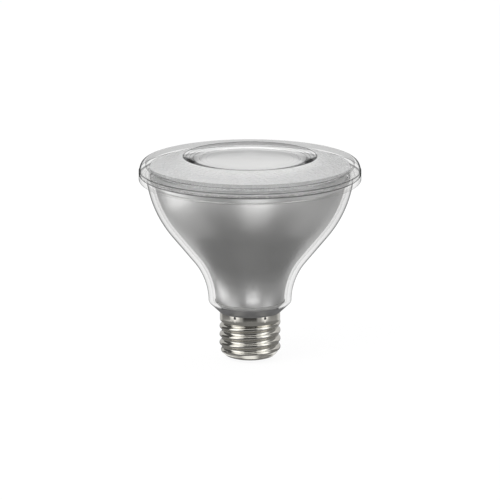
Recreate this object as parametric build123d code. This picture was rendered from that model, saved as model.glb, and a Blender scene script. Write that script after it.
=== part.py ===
from build123d import *
import os
from math import asin, atan2, cos, degrees, hypot, radians, sin, sqrt

# LED reflector lamp: pressed-glass bowl and stippled glass lens on a medium screw base.
# Millimetres. Z is the lamp's axis, and Z = 0 is the face of the centre contact.

# Screw base
contact_radius = 4.8
contact_thickness = 0.9
contact_round = 0.35
shank_radius = 1.1
shank_length = 5.2
boss_proud = 0.2
shell_height = 19.6
shell_wall = 0.3
shell_mouth_radius = 8.7
thread_pitch = 3.629
thread_crest_radius = 13.1
thread_depth = 1.0
thread_round = 1.15
thread_first_angle = -126.0
thread_rise = 2.78
thread_turns = 3.4
thread_fade_turns = 0.35
collar_inset = 0.15
collar_height = 3.5
stake_count = 6
stake_first_angle = 0.0
stake_radius = 0.4
stake_drop = 0.6
insulator_floor = 3.0
insulator_rim = 2.4

# Glass bowl
glass_wall = 1.8
stub_length = 2.9
taper_overhang = 0.15
taper_height = 4.4
neck_radius = 17.7
bowl_height = 52.8
bowl_cone_lean = 39.4
bowl_top_lean = 8.8
shoulder_arc_radius = 48.1
rim_radius = 47.5
flange_overhang = 3.4
flange_height = 2.6
flange_round = 1.2
seat_step = 0.4

# Front lens and its seal
sealant_thickness = 0.3
sealant_inset = 0.5
lens_rim_height = 1.9
lens_rim_ledge = 0.3
ridge_inset = 2.6
ridge_rise = 3.5
ridge_round = 0.35
gutter_width = 1.6
dome_radius = 115.0
crest_radius = 28.7
crest_rise = 6.1
lens_wall = 2.8
window_recess = 1.0
window_cove_width = 5.2
pane_radius = 21.6
pane_recess = 0.3
pane_thickness = 2.6
spigot_wall = 1.8
spigot_length = 2.1

# Collimating optic and its holder
optic_gap = 1.0
optic_flange_radius = 27.6
optic_flange_thickness = 1.5
optic_radius = 21.5
optic_foot_radius = 7.4
optic_side_arc = 55.0
optic_lift = 0.5
optic_well_radius = 6.0
optic_well_depth = 8.5
optic_well_crown = 2.4
optic_ring_count = 5
optic_ring_depth = 0.4
holder_height = 23.6
holder_wall = 1.2
holder_foot_radius = 17.0
tab_count = 3
tab_first_angle = 90.0
tab_width = 5.0
tab_thickness = 1.1
tab_hook = 0.8

# Light source and heat spreader
led_board_radius = 17.0
led_board_thickness = 1.6
emitter_side = 15.0
emitter_thickness = 1.0
phosphor_radius = 5.6
phosphor_thickness = 0.35
dam_width = 0.7
dam_height = 0.45
spreader_thickness = 2.0
screw_count = 3
screw_first_angle = 30.0
screw_circle_radius = 14.2
screw_radius = 1.0
screw_head_radius = 2.0
screw_head_height = 1.5
screw_slot_width = 0.6
screw_slot_depth = 0.7
screw_boss_wall = 1.0

# Satin metal liner, cement and driver housing
liner_air_gap = 1.2
liner_wall = 0.8
liner_drop = 0.6
liner_lip_round = 0.35
cement_rise = 0.5
cement_gap = 0.75
housing_air_gap = 0.2
housing_wall = 1.0
housing_floor = 1.2
rail_depth = 1.2
rail_width = 1.2

# Driver board and what is soldered to it
driver_board_thickness = 1.2
driver_board_lift = 1.0
driver_board_headroom = 4.6
capacitor_radius = 5.0
capacitor_length = 15.0
capacitor_groove = 0.4
core_width = 12.0
core_depth = 6.0
core_height = 11.0
core_limb = 2.4
winding_overhang = 1.6
rectifier_width = 6.5
rectifier_depth = 2.4
rectifier_height = 4.8
film_width = 10.0
film_depth = 4.0
film_height = 8.5
film_round = 0.8
chip_width = 3.9
chip_depth = 1.5
chip_height = 4.9
chip_pin_pitch = 1.27
chip_pin_length = 1.1
chip_pin_thickness = 0.2
chip_pin_width = 0.42
chip_pin_rows = 4
fuse_radius = 1.6
fuse_length = 8.0
fuse_cap_length = 1.6
fuse_cap_proud = 0.2
part_gap = 1.5

# Leads
lead_radius = 0.5
lead_bend = 1.0
led_lead_offset = 11.5
lead_tail = 5.0
neutral_height = 4.5

# Clearances
slip = 0.1
lead_clearance = 0.4
screw_clearance = 0.2

# Heights, from the contact up to the lens and back down to the driver
shell_z = contact_thickness + boss_proud
shell_top_z = shell_z + shell_height
neck_z = shell_top_z + taper_height
flange_z = neck_z + bowl_height
seam_z = flange_z + flange_height
lens_z = seam_z + sealant_thickness
rim_top_z = lens_z + lens_rim_height
ridge_z = rim_top_z + ridge_rise
crest_z = rim_top_z + crest_rise
window_z = crest_z - window_recess
pane_z = window_z - pane_recess
pane_under_z = pane_z - pane_thickness
optic_top_z = pane_under_z - optic_gap
optic_seat_z = optic_top_z - optic_flange_thickness
led_face_z = optic_seat_z - holder_height
emitter_face_z = led_face_z + emitter_thickness
optic_foot_z = emitter_face_z + dam_height + optic_lift
spreader_top_z = led_face_z - led_board_thickness
spreader_z = spreader_top_z - spreader_thickness
housing_z = contact_thickness + insulator_floor
housing_floor_z = housing_z + housing_floor
stub_z = shell_top_z - stub_length
cement_z = neck_z + cement_rise
shoulder_z = cement_z + housing_wall
liner_top_z = flange_z - liner_drop
shank_top_z = contact_thickness + shank_length
driver_board_z = shank_top_z + driver_board_lift
driver_board_top_z = spreader_z - driver_board_headroom

# Depths of the nested shells, measured inwards from the outside of the glass
liner_depth = glass_wall + liner_air_gap
liner_inner_depth = liner_depth + liner_wall
housing_depth = liner_inner_depth + housing_air_gap
cavity_depth = housing_depth + housing_wall

# Radii that follow from the fits
thread_root_radius = thread_crest_radius - thread_depth
collar_radius = thread_crest_radius - collar_inset
bowl_top_radius = rim_radius - flange_overhang
ridge_radius = rim_radius - ridge_inset
collar_bore_radius = collar_radius - shell_wall
stub_radius = collar_bore_radius - slip
stub_bore_radius = stub_radius - glass_wall
shell_bore_radius = thread_root_radius - shell_wall
flange_bore_radius = bowl_top_radius - glass_wall + seat_step
spigot_radius = flange_bore_radius - slip
housing_tube_radius = stub_bore_radius - cement_gap
housing_bore_radius = housing_tube_radius - housing_wall
board_face = driver_board_thickness / 2
tail_half_width = sqrt((housing_bore_radius - slip) ** 2 - board_face**2)
wing_half_width = sqrt((neck_radius - cavity_depth - slip) ** 2 - board_face**2)
lead_plane = board_face + lead_radius + slip
holder_plate_z = emitter_face_z + dam_height + slip
holder_plate_top_z = holder_plate_z + holder_wall

# The bowl's outline: an arc out of the neck, a cone tangent to it, and an arc up to the flange.
# The neck's arc and the cone's length close the outline between the neck and the flange.
cone_lean = radians(bowl_cone_lean)
top_lean = radians(bowl_top_lean)
open_run = bowl_top_radius - neck_radius - shoulder_arc_radius * (cos(top_lean) - cos(cone_lean))
open_rise = bowl_height - shoulder_arc_radius * (sin(cone_lean) - sin(top_lean))
neck_arc_radius = (open_rise * sin(cone_lean) - open_run * cos(cone_lean)) / (1 - cos(cone_lean))
neck_centre = (neck_radius + neck_arc_radius, neck_z)
shoulder_centre = (
    bowl_top_radius - shoulder_arc_radius * cos(top_lean),
    flange_z + shoulder_arc_radius * sin(top_lean),
)


def revolved(*edges):
    return revolve(Plane.XZ * make_face(list(edges)), Axis.Z)


def turned(*points):
    return revolved(Polyline(*points, close=True))


def disc(radius, low, high):
    return Pos(0, 0, low) * Cylinder(radius, high - low, align=(Align.CENTER, Align.CENTER, Align.MIN))


def ring(inner, outer, low, high):
    return disc(outer, low, high) - disc(inner, low, high)


def block(size, low):
    return Pos(*low) * Box(*size, align=(Align.CENTER, Align.CENTER, Align.MIN))


def around(count, first_angle, radius, piece):
    return [Rot(0, 0, first_angle + 360 * n / count) * Pos(radius, 0, 0) * piece for n in range(count)]


def wire(*points):
    path = FilletPolyline(*points, radius=lead_bend)
    return sweep(Plane(path @ 0, z_dir=path % 0) * Circle(lead_radius), path=path)


# Solid inside the bowl's outline, set in from the outside of the glass by a depth
def bowl(depth):
    neck_arc = neck_arc_radius + depth
    shoulder_arc = shoulder_arc_radius - depth
    lean_at_top = asin(shoulder_arc_radius * sin(top_lean) / shoulder_arc)
    lower = CenterArc(neck_centre, neck_arc, 180, -degrees(cone_lean))
    upper = CenterArc(shoulder_centre, shoulder_arc, -degrees(cone_lean), degrees(cone_lean - lean_at_top))
    cone = Line(lower @ 1, upper @ 0)
    core = Polyline(upper @ 1, (0, flange_z), (0, neck_z), lower @ 0)
    return revolved(lower, cone, upper, core)


# Space inside the driver housing
def cavity():
    flare = bowl(cavity_depth) & disc(rim_radius, shoulder_z, spreader_z)
    return flare + disc(housing_bore_radius, housing_floor_z, shoulder_z)


# Circle through the collimator's foot and its flange; the holder's cup shares its centre
optic_foot = Vector(optic_foot_radius, optic_foot_z)
optic_shoulder = Vector(optic_radius, optic_seat_z)
optic_chord = optic_shoulder - optic_foot
optic_sag = sqrt(optic_side_arc**2 - (optic_chord.length / 2) ** 2)
optic_inward = Vector(-optic_chord.Y, optic_chord.X).normalized()
optic_centre = (optic_foot + optic_shoulder) / 2 + optic_inward * optic_sag


# Solid inside the collimator's curved side, grown outwards by a gap
def optic_cone(gap, low, high):
    arc_radius = optic_side_arc + gap
    foot_angle = asin((low - optic_centre.Y) / arc_radius)
    top_angle = asin((high - optic_centre.Y) / arc_radius)
    side = CenterArc(optic_centre, arc_radius, degrees(foot_angle), degrees(top_angle - foot_angle))
    return revolved(side, Polyline(side @ 1, (0, high), (0, low), side @ 0))


# Rolled thread: a round ridge on a helix that sinks into the shell at both ends
def thread_ridge(round_radius):
    helix_radius = thread_crest_radius - thread_round
    sink = 2 * thread_round
    fade_height = thread_pitch * thread_fade_turns
    fade_cone = atan2(sink, fade_height)
    fade_pitch = thread_pitch / cos(fade_cone)
    start_z = shell_z + thread_rise
    end_z = start_z + thread_pitch * thread_turns
    fade_in = Helix(fade_pitch, fade_height, helix_radius - sink, cone_angle=degrees(fade_cone))
    fade_out = Helix(fade_pitch, fade_height, helix_radius, cone_angle=-degrees(fade_cone))
    path = Wire([
        Pos(0, 0, start_z - fade_height) * Rot(0, 0, -360 * thread_fade_turns) * fade_in,
        Pos(0, 0, start_z) * Helix(thread_pitch, thread_pitch * thread_turns, helix_radius),
        Pos(0, 0, end_z) * Rot(0, 0, 360 * thread_turns) * fade_out,
    ])
    ridge = sweep(Plane(path @ 0, z_dir=path % 0) * Circle(round_radius), path=path, is_frenet=True)
    return Rot(0, 0, thread_first_angle) * ridge


# Inside or outside of the screw shell, set in by a depth
def shell_form(depth):
    bottom_round = thread_root_radius - shell_mouth_radius - depth
    root = thread_root_radius - depth
    collar = collar_radius - depth
    bottom_z = shell_z + depth
    collar_z = shell_top_z - collar_height
    cove = thread_depth - collar_inset
    heel = CenterArc((shell_mouth_radius, bottom_z + bottom_round), bottom_round, -90, 90)
    wall = Polyline(
        heel @ 1,
        (root, collar_z - cove),
        (collar, collar_z),
        (collar, shell_top_z),
        (0, shell_top_z),
        (0, bottom_z),
        heel @ 0,
    )
    return revolved(heel, wall) + thread_ridge(thread_round - depth)


def screw_shell():
    shell = shell_form(0) - shell_form(shell_wall) - disc(shell_mouth_radius, shell_z, shell_z + shell_wall)
    punch = Rot(0, 90, 0) * Cylinder(stake_radius, 4 * collar_height)
    stake_z = shell_top_z - stake_drop
    stakes = around(stake_count, stake_first_angle, collar_radius, Pos(0, 0, stake_z) * punch)
    return shell - stakes


def centre_contact():
    button = fillet(disc(contact_radius, 0, contact_thickness).edges().group_by(Axis.Z)[0], contact_round)
    return button + disc(shank_radius, contact_thickness, shank_top_z)


def base_insulator():
    fit = shell_wall + slip
    heel_round = thread_root_radius - shell_mouth_radius - fit
    heel = CenterArc((shell_mouth_radius, shell_z + fit + heel_round), heel_round, -90, 90)
    boss_radius = shell_mouth_radius - slip
    rim_z = housing_z + insulator_rim
    outline = Polyline(
        heel @ 1,
        (thread_root_radius - fit, rim_z),
        (0, rim_z),
        (0, contact_thickness),
        (boss_radius, contact_thickness),
        (boss_radius, shell_z + fit),
        heel @ 0,
    )
    seat = disc(housing_tube_radius + slip, housing_z, rim_z)
    return revolved(heel, outline) - seat - disc(shank_radius, contact_thickness, rim_z)


def glass_body():
    lip_radius = collar_radius + taper_overhang
    skin = turned((0, shell_top_z), (lip_radius, shell_top_z), (neck_radius, neck_z), (0, neck_z))
    flange = disc(rim_radius, flange_z, seam_z)
    flange = fillet(flange.edges().group_by(Axis.Z)[0], flange_round)
    solid = bowl(0) + skin + disc(stub_radius, stub_z, shell_top_z) + flange
    slant = hypot(neck_radius - lip_radius, taper_height) / taper_height * glass_wall
    funnel = turned((0, shell_top_z), (lip_radius - slant, shell_top_z), (neck_radius - slant, neck_z), (0, neck_z))
    bore = disc(stub_bore_radius, stub_z, neck_z - taper_height / 2)
    seat = disc(flange_bore_radius, flange_z, seam_z)
    return solid - bowl(glass_wall) - funnel - bore - seat


def rim_sealant():
    return ring(flange_bore_radius + sealant_inset, rim_radius - sealant_inset, seam_z, lens_z)


def front_lens():
    dome_centre_z = crest_z - sqrt(dome_radius**2 - crest_radius**2)
    gutter_outer = ridge_radius - ridge_round
    gutter_inner = gutter_outer - gutter_width
    gutter_z = dome_centre_z + sqrt(dome_radius**2 - gutter_inner**2)
    dome_mid = (crest_radius + gutter_inner) / 2
    dome_mid_z = dome_centre_z + sqrt(dome_radius**2 - dome_mid**2)
    dome = ThreePointArc((crest_radius, crest_z), (dome_mid, dome_mid_z), (gutter_inner, gutter_z))
    shoulder_run = rim_radius - lens_rim_ledge - ridge_radius
    shoulder = EllipticalCenterArc((ridge_radius, rim_top_z), shoulder_run, ridge_rise, start_angle=0, arc_size=90)
    ridge = CenterArc((ridge_radius, ridge_z - ridge_round), ridge_round, 90, 90)
    gutter = Polyline(dome @ 1, (gutter_outer, gutter_z), ridge @ 1)
    rim = Polyline(shoulder @ 0, (rim_radius, rim_top_z), (rim_radius, lens_z), (spigot_radius, lens_z))
    foot_z = lens_z - spigot_length
    cove = TangentArc((crest_radius - window_cove_width, window_z), dome @ 0, tangent=(1, 0))
    centre = Polyline(
        rim @ 1,
        (spigot_radius, foot_z),
        (0, foot_z),
        (0, pane_z),
        (pane_radius - pane_recess, pane_z),
        (pane_radius, window_z),
        cove @ 0,
    )
    solid = revolved(dome, gutter, ridge, shoulder, rim, centre, cove)
    hollow = Pos(0, 0, dome_centre_z) * Sphere(dome_radius - lens_wall)
    return solid - (hollow & disc(spigot_radius - spigot_wall, foot_z, pane_under_z))


def collimator():
    solid = optic_cone(0, optic_foot_z, optic_seat_z) + disc(optic_flange_radius, optic_seat_z, optic_top_z)
    crown = Pos(0, 0, optic_foot_z + optic_well_depth) * scale(
        Sphere(optic_well_radius), (1, 1, optic_well_crown / optic_well_radius)
    )
    well = disc(optic_well_radius, optic_foot_z, optic_foot_z + optic_well_depth) - crown
    step = optic_radius / (optic_ring_count + 1)
    for n in range(1, optic_ring_count + 1):
        inner = n * step
        outer = inner + step
        low_z = optic_top_z - optic_ring_depth
        solid -= turned((inner, low_z), (outer, optic_top_z), (inner, optic_top_z))
    return solid - well


def optic_holder():
    cup = optic_cone(slip + holder_wall, holder_plate_z, optic_seat_z)
    plate = disc(holder_foot_radius, holder_plate_z, holder_plate_top_z)
    skirt = ring(holder_foot_radius - holder_wall, holder_foot_radius, led_face_z, holder_plate_z)
    tab_inner = optic_flange_radius + slip
    tab_outer = tab_inner + tab_thickness
    seat = disc(tab_outer, optic_seat_z - holder_wall, optic_seat_z)
    boss = disc(screw_radius + screw_clearance + screw_boss_wall, led_face_z, holder_plate_z)
    bore = disc(screw_radius + screw_clearance, led_face_z, holder_plate_top_z)
    hook_z = optic_top_z + slip
    hook_run = tab_thickness + tab_hook
    post = block((tab_thickness, tab_width, hook_z - optic_seat_z), (tab_thickness / 2, 0, optic_seat_z))
    hook = block((hook_run, tab_width, tab_hook), (tab_thickness - hook_run / 2, 0, hook_z))
    tabs = around(tab_count, tab_first_angle, tab_inner, post + hook)
    bosses = around(screw_count, screw_first_angle, screw_circle_radius, boss)
    bores = around(screw_count, screw_first_angle, screw_circle_radius, bore)
    inside = optic_cone(slip, holder_plate_z, optic_seat_z)
    return (cup + plate + seat - inside) + skirt + bosses + tabs - bores


def led_board():
    board = disc(led_board_radius, spreader_top_z, led_face_z)
    bore = disc(screw_radius + screw_clearance, spreader_top_z, led_face_z)
    return board - around(screw_count, screw_first_angle, screw_circle_radius, bore) - lead_holes()


def emitter_substrate():
    tile = block((emitter_side, emitter_side, emitter_thickness), (0, 0, led_face_z))
    dam = ring(phosphor_radius, phosphor_radius + dam_width, emitter_face_z, emitter_face_z + dam_height)
    return tile + dam


def phosphor_disc():
    return disc(phosphor_radius, emitter_face_z, emitter_face_z + phosphor_thickness)


def heat_spreader():
    plate = bowl(liner_inner_depth + slip) & disc(rim_radius, spreader_z, spreader_top_z)
    tapped = disc(screw_radius, spreader_z, spreader_top_z)
    return plate - around(screw_count, screw_first_angle, screw_circle_radius, tapped) - lead_holes()


def lead_holes():
    hole = disc(lead_radius + lead_clearance, spreader_z, led_face_z)
    return [Pos(side * led_lead_offset, lead_plane, 0) * hole for side in (1, -1)]


def board_screws():
    head_top_z = holder_plate_top_z + screw_head_height
    head = disc(screw_head_radius, holder_plate_top_z, head_top_z)
    head = fillet(head.edges().group_by(Axis.Z)[-1], screw_head_height / 3)
    slot = block((screw_slot_width, 2 * screw_head_radius, screw_slot_depth), (0, 0, head_top_z - screw_slot_depth))
    slot = slot & disc(screw_head_radius * 2 / 3, holder_plate_top_z, head_top_z)
    screw = head + disc(screw_radius, spreader_z, holder_plate_top_z) - slot - Rot(0, 0, 90) * slot
    return Part() + around(screw_count, screw_first_angle, screw_circle_radius, screw)


def reflector_liner():
    sheet = (bowl(liner_depth) - bowl(liner_inner_depth)) & disc(rim_radius, cement_z, liner_top_z)
    return fillet(sheet.edges().group_by(Axis.Z)[-1], liner_lip_round)


def neck_cement():
    slant = glass_wall + slip
    lip_radius = collar_radius + taper_overhang
    drop = hypot(neck_radius - lip_radius, taper_height) / taper_height * slant
    filling = turned(
        (0, stub_z),
        (stub_bore_radius - slip, stub_z),
        (stub_bore_radius - slip, shell_top_z),
        (lip_radius - drop, shell_top_z),
        (neck_radius - drop, neck_z),
        (neck_radius - drop, cement_z),
        (0, cement_z),
    )
    return filling - disc(housing_tube_radius, stub_z, cement_z)


def driver_housing():
    flare = bowl(housing_depth) & disc(rim_radius, cement_z, spreader_z)
    tube = disc(housing_tube_radius, housing_z, cement_z)
    shank_hole = disc(shank_radius + lead_clearance, housing_z, housing_floor_z)
    rail_offset = board_face + slip + rail_width / 2
    rail_height = stub_z - housing_floor_z
    rail = Box(2 * rail_depth, rail_width, rail_height, align=(Align.CENTER, Align.CENTER, Align.MIN))
    rails = [
        Pos(x * housing_bore_radius, y * rail_offset, housing_floor_z) * rail & disc(housing_tube_radius, 0, stub_z)
        for x in (1, -1)
        for y in (1, -1)
    ]
    exit_z = driver_board_z + neutral_height
    exit_length = 2 * (housing_wall + rail_depth + slip)
    lead_exit = Rot(0, 90, 0) * Cylinder(lead_radius + lead_clearance, exit_length)
    lead_exit = Pos(housing_tube_radius, lead_plane, exit_z) * lead_exit
    return flare + tube - cavity() - shank_hole + rails - lead_exit


def driver_board():
    tail_height = driver_board_top_z - driver_board_z
    tail = block((2 * tail_half_width, driver_board_thickness, tail_height), (0, 0, driver_board_z))
    wing_z = shoulder_z + part_gap
    wing_height = driver_board_top_z - wing_z
    wing = block((2 * wing_half_width, driver_board_thickness, wing_height), (0, 0, wing_z))
    return tail + wing


def bulk_capacitor():
    low_z = driver_board_top_z - part_gap - capacitor_length
    can = Pos(0, board_face + capacitor_radius, 0) * disc(capacitor_radius, low_z, low_z + capacitor_length)
    can = fillet(can.edges().group_by(Axis.Z)[-1], capacitor_groove)
    groove = Torus(capacitor_radius, capacitor_groove)
    return can - Pos(0, board_face + capacitor_radius, low_z + 4 * capacitor_groove) * groove


def core_window():
    return (core_width - 3 * core_limb) / 2


def core_place():
    return Pos(0, -board_face - winding_overhang - core_depth / 2, driver_board_top_z - part_gap - core_height)


def transformer_core():
    frame = block((core_width, core_depth, core_height), (0, 0, 0))
    opening = block((core_window(), core_depth, core_height - 2 * core_limb), (0, 0, core_limb))
    offset_x = (core_limb + core_window()) / 2
    return core_place() * (frame - [Pos(side * offset_x, 0, 0) * opening for side in (1, -1)])


def transformer_winding():
    height = core_height - 2 * core_limb - 2 * slip
    width = core_limb + 2 * core_window() - 2 * slip
    coil = block((width, core_depth + 2 * winding_overhang, height), (0, 0, core_limb + slip))
    coil = fillet(coil.edges().filter_by(Axis.Z), winding_overhang / 2)
    limb = block((core_limb + 2 * slip, core_depth + 2 * slip, height), (0, 0, core_limb + slip))
    return core_place() * (coil - limb)


def bridge_rectifier():
    low_z = driver_board_z + part_gap + film_height + part_gap
    size = (rectifier_width, rectifier_depth, rectifier_height)
    body = block(size, (0, board_face + rectifier_depth / 2, low_z))
    return chamfer(body.faces().sort_by(Axis.Y)[-1].edges(), rectifier_depth / 5)


def film_capacitor():
    size = (film_width, film_depth, film_height)
    body = block(size, (0, board_face + film_depth / 2, driver_board_z + part_gap))
    return fillet(body.faces().sort_by(Axis.Y)[-1].edges(), film_round)


def fuse_resistor():
    low_z = driver_board_z + part_gap + lead_tail
    centre_y = -board_face - fuse_radius - fuse_cap_proud
    cap_radius = fuse_radius + fuse_cap_proud
    barrel = disc(fuse_radius, low_z, low_z + fuse_length)
    lower_cap = disc(cap_radius, low_z, low_z + fuse_cap_length)
    upper_cap = disc(cap_radius, low_z + fuse_length - fuse_cap_length, low_z + fuse_length)
    return Pos(0, centre_y, 0) * (barrel + lower_cap + upper_cap)


def driver_chip():
    low_z = driver_board_z + part_gap + lead_tail + fuse_length + part_gap
    body = block((chip_width, chip_depth, chip_height), (0, -board_face - chip_depth / 2, low_z))
    pin = block((chip_pin_length, chip_pin_thickness, chip_pin_width), (0, 0, 0))
    pin_x = (chip_width + chip_pin_length) / 2
    pin_y = -board_face - chip_pin_thickness / 2
    first_z = low_z + (chip_height - chip_pin_pitch * (chip_pin_rows - 1) - chip_pin_width) / 2
    pins = [
        Pos(side * pin_x, pin_y, first_z + row * chip_pin_pitch) * pin
        for side in (1, -1)
        for row in range(chip_pin_rows)
    ]
    return body + pins


def led_lead(side):
    start = (side * led_lead_offset, lead_plane, driver_board_top_z - lead_tail)
    turn_z = led_face_z + lead_radius + slip
    turn = (side * led_lead_offset, lead_plane, turn_z)
    end = (side * (emitter_side / 2 + lead_radius), lead_plane, turn_z)
    return wire(start, turn, end)


def live_lead():
    beside_shank = -shank_radius - lead_radius - slip
    knee_z = driver_board_z + lead_bend
    return wire(
        (0, beside_shank, shank_top_z - lead_bend),
        (0, beside_shank, knee_z),
        (0, -lead_plane, knee_z + 2 * lead_bend),
        (0, -lead_plane, knee_z + 2 * lead_bend + lead_tail / 2),
    )


def neutral_lead():
    exit_z = driver_board_z + neutral_height
    outside = (housing_tube_radius + shell_bore_radius) / 2
    inside = film_width / 2 + 2 * slip
    return wire((inside, lead_plane, exit_z), (outside, lead_plane, exit_z), (outside, lead_plane, stub_z - slip))


nodes = {
    "centre_contact": centre_contact(),
    "base_insulator": base_insulator(),
    "screw_shell": screw_shell(),
    "neck_cement": neck_cement(),
    "glass_body": glass_body(),
    "rim_sealant": rim_sealant(),
    "front_lens": front_lens(),
    "reflector_liner": reflector_liner(),
    "heat_spreader": heat_spreader(),
    "led_board": led_board(),
    "emitter_substrate": emitter_substrate(),
    "phosphor_disc": phosphor_disc(),
    "optic_holder": optic_holder(),
    "collimator": collimator(),
    "board_screws": board_screws(),
    "driver_housing": driver_housing(),
    "driver_board": driver_board(),
    "bulk_capacitor": bulk_capacitor(),
    "transformer_core": transformer_core(),
    "transformer_winding": transformer_winding(),
    "bridge_rectifier": bridge_rectifier(),
    "film_capacitor": film_capacitor(),
    "fuse_resistor": fuse_resistor(),
    "driver_chip": driver_chip(),
    "positive_lead": led_lead(1),
    "negative_lead": led_lead(-1),
    "live_lead": live_lead(),
    "neutral_lead": neutral_lead(),
}

os.makedirs("parts", exist_ok=True)
for name, node in nodes.items():
    export_step(node, f"parts/{name}.step")
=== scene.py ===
import bpy
import math
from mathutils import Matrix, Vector


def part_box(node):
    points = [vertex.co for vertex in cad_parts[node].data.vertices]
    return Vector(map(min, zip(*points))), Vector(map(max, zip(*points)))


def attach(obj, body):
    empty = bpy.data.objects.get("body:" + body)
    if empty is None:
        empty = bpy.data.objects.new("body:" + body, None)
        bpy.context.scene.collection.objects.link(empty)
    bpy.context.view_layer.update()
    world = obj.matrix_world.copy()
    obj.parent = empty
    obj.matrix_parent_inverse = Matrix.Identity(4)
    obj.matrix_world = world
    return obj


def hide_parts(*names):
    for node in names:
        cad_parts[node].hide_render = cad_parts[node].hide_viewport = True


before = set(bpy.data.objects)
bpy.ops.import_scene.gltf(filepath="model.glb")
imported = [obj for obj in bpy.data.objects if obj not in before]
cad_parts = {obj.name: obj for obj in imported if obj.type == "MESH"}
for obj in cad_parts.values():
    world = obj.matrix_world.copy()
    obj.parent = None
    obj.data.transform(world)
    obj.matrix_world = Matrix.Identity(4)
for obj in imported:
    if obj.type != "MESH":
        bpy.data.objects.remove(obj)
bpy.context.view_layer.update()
scene = bpy.context.scene
mm = 0.001
mergeGap = 1e-6
cornerSteps = 6
smoothAngle = 32  # degrees, a sharper turn keeps its edge
print("frame loaded with", len(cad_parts), "nodes")


# node trees

class Wire:  # a shader socket that takes Python maths
    def __init__(self, finish, socket):
        self.finish = finish
        self.socket = socket

    def maths(self, operation, *values):
        return self.finish.add("ShaderNodeMath", {"operation": operation}, dict(enumerate(values)))

    def out(self, name):  # another output of the same node
        return Wire(self.finish, self.socket.node.outputs[name])

    def __add__(self, other):
        return self.maths("ADD", self, other)

    def __radd__(self, other):
        return self.maths("ADD", other, self)

    def __sub__(self, other):
        return self.maths("SUBTRACT", self, other)

    def __rsub__(self, other):
        return self.maths("SUBTRACT", other, self)

    def __mul__(self, other):
        return self.maths("MULTIPLY", self, other)

    def __rmul__(self, other):
        return self.maths("MULTIPLY", other, self)

    def __truediv__(self, other):
        return self.maths("DIVIDE", self, other)

    def __pow__(self, other):
        return self.maths("POWER", self, other)


class Finish:  # one node tree, filled a node at a time
    def __init__(self, owner):
        self.owner = owner
        owner.use_nodes = True
        self.tree = owner.node_tree
        self.tree.nodes.clear()

    def add(self, kind, settings=None, sockets=None):
        node = self.tree.nodes.new(kind)
        for name, value in (settings or {}).items():
            setattr(node, name, value)
        for key, value in (sockets or {}).items():
            socket = node.inputs[key] if isinstance(key, int) else self.open(node, key)
            if isinstance(value, Wire):
                self.tree.links.new(value.socket, socket)
            else:
                socket.default_value = value
        shown = [s for s in node.outputs if s.enabled]
        return Wire(self, shown[0]) if shown else None

    def open(self, node, name):  # a Mix node has one A and B for each type
        return next(s for s in node.inputs if s.enabled and s.name == name)

    def place(self):
        return self.add("ShaderNodeTexCoord").out("Object")

    def split(self, vector):
        parts = self.add("ShaderNodeSeparateXYZ", None, {0: vector})
        return [parts.out(axis) for axis in "XYZ"]

    def axisPlace(self):  # distance from the axis and height, in mm
        x, y, z = self.split(self.place())
        return (x * x + y * y) ** 0.5 / mm, z / mm

    def ramp(self, value, low, high):  # 0 below low, 1 above high, eased between
        ends = {"Value": value, "From Min": low, "From Max": high}
        return self.add("ShaderNodeMapRange", {"interpolation_type": "SMOOTHSTEP"}, ends)

    def band(self, value, low, high, lowSoft, highSoft):  # 1 between low and high, eased inside both ends
        return self.ramp(value, low, low + lowSoft) * (1 - self.ramp(value, high - highSoft, high))

    def noise(self, vector, size, detail, rough=0.5):
        sockets = {"Vector": vector, "Scale": 1 / (size * mm), "Detail": detail, "Roughness": rough}
        return self.add("ShaderNodeTexNoise", None, sockets)

    def stretched(self, vector, x, y, z):
        return self.add("ShaderNodeMapping", None, {"Vector": vector, "Scale": (x, y, z)})

    def tint(self, factor, first, second):
        sockets = {"Factor": factor, "A": (*first, 1), "B": (*second, 1)}
        return self.add("ShaderNodeMix", {"data_type": "RGBA"}, sockets)

    def bump(self, height, depth, strength):
        sockets = {"Height": height, "Distance": depth * mm, "Strength": strength}
        return self.add("ShaderNodeBump", None, sockets)

    def facing(self):  # 0 square to the view, 1 edge-on
        return self.add("ShaderNodeLayerWeight", None, {"Blend": 0.5}).out("Facing")

    def front(self):  # 1 on the outer side of a face
        return 1 - self.add("ShaderNodeNewGeometry").out("Backfacing")

    def outward(self):  # 1 on faces that point away from the axis
        x, y = self.split(self.place())[:2]
        surface = self.add("ShaderNodeNewGeometry")
        across, along = self.split(surface.out("Normal"))[:2]
        away = (across * x + along * y) * (1 - 2 * surface.out("Backfacing"))
        leastAway = 2 * mm  # leaves out flat faces, whose normals waver
        return away.maths("GREATER_THAN", away, leastAway)

    def drawn(self):  # 1 where it is looked at, 0 where light or a mirror reaches it
        return self.add("ShaderNodeLightPath").out("Is Camera Ray")

    def seeThrough(self, *colour):
        return self.add("ShaderNodeBsdfTransparent", None, {"Color": (*colour, 1)})

    def matt(self, level):
        return self.add("ShaderNodeBsdfDiffuse", None, {"Color": (level, level, level, 1)})

    def glossy(self, roughness, normal):
        return self.add("ShaderNodeBsdfGlossy", None, {"Roughness": roughness, "Normal": normal})

    def principled(self, sockets):
        return self.add("ShaderNodeBsdfPrincipled", None, sockets)

    def mixed(self, factor, first, second):
        return self.add("ShaderNodeMixShader", None, {0: factor, 1: first, 2: second})

    def shows(self, shader):
        self.add("ShaderNodeOutputMaterial", None, {"Surface": shader})
        return self.owner


def newFinish(name):
    return Finish(bpy.data.materials.new(name))


# modelling

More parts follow.
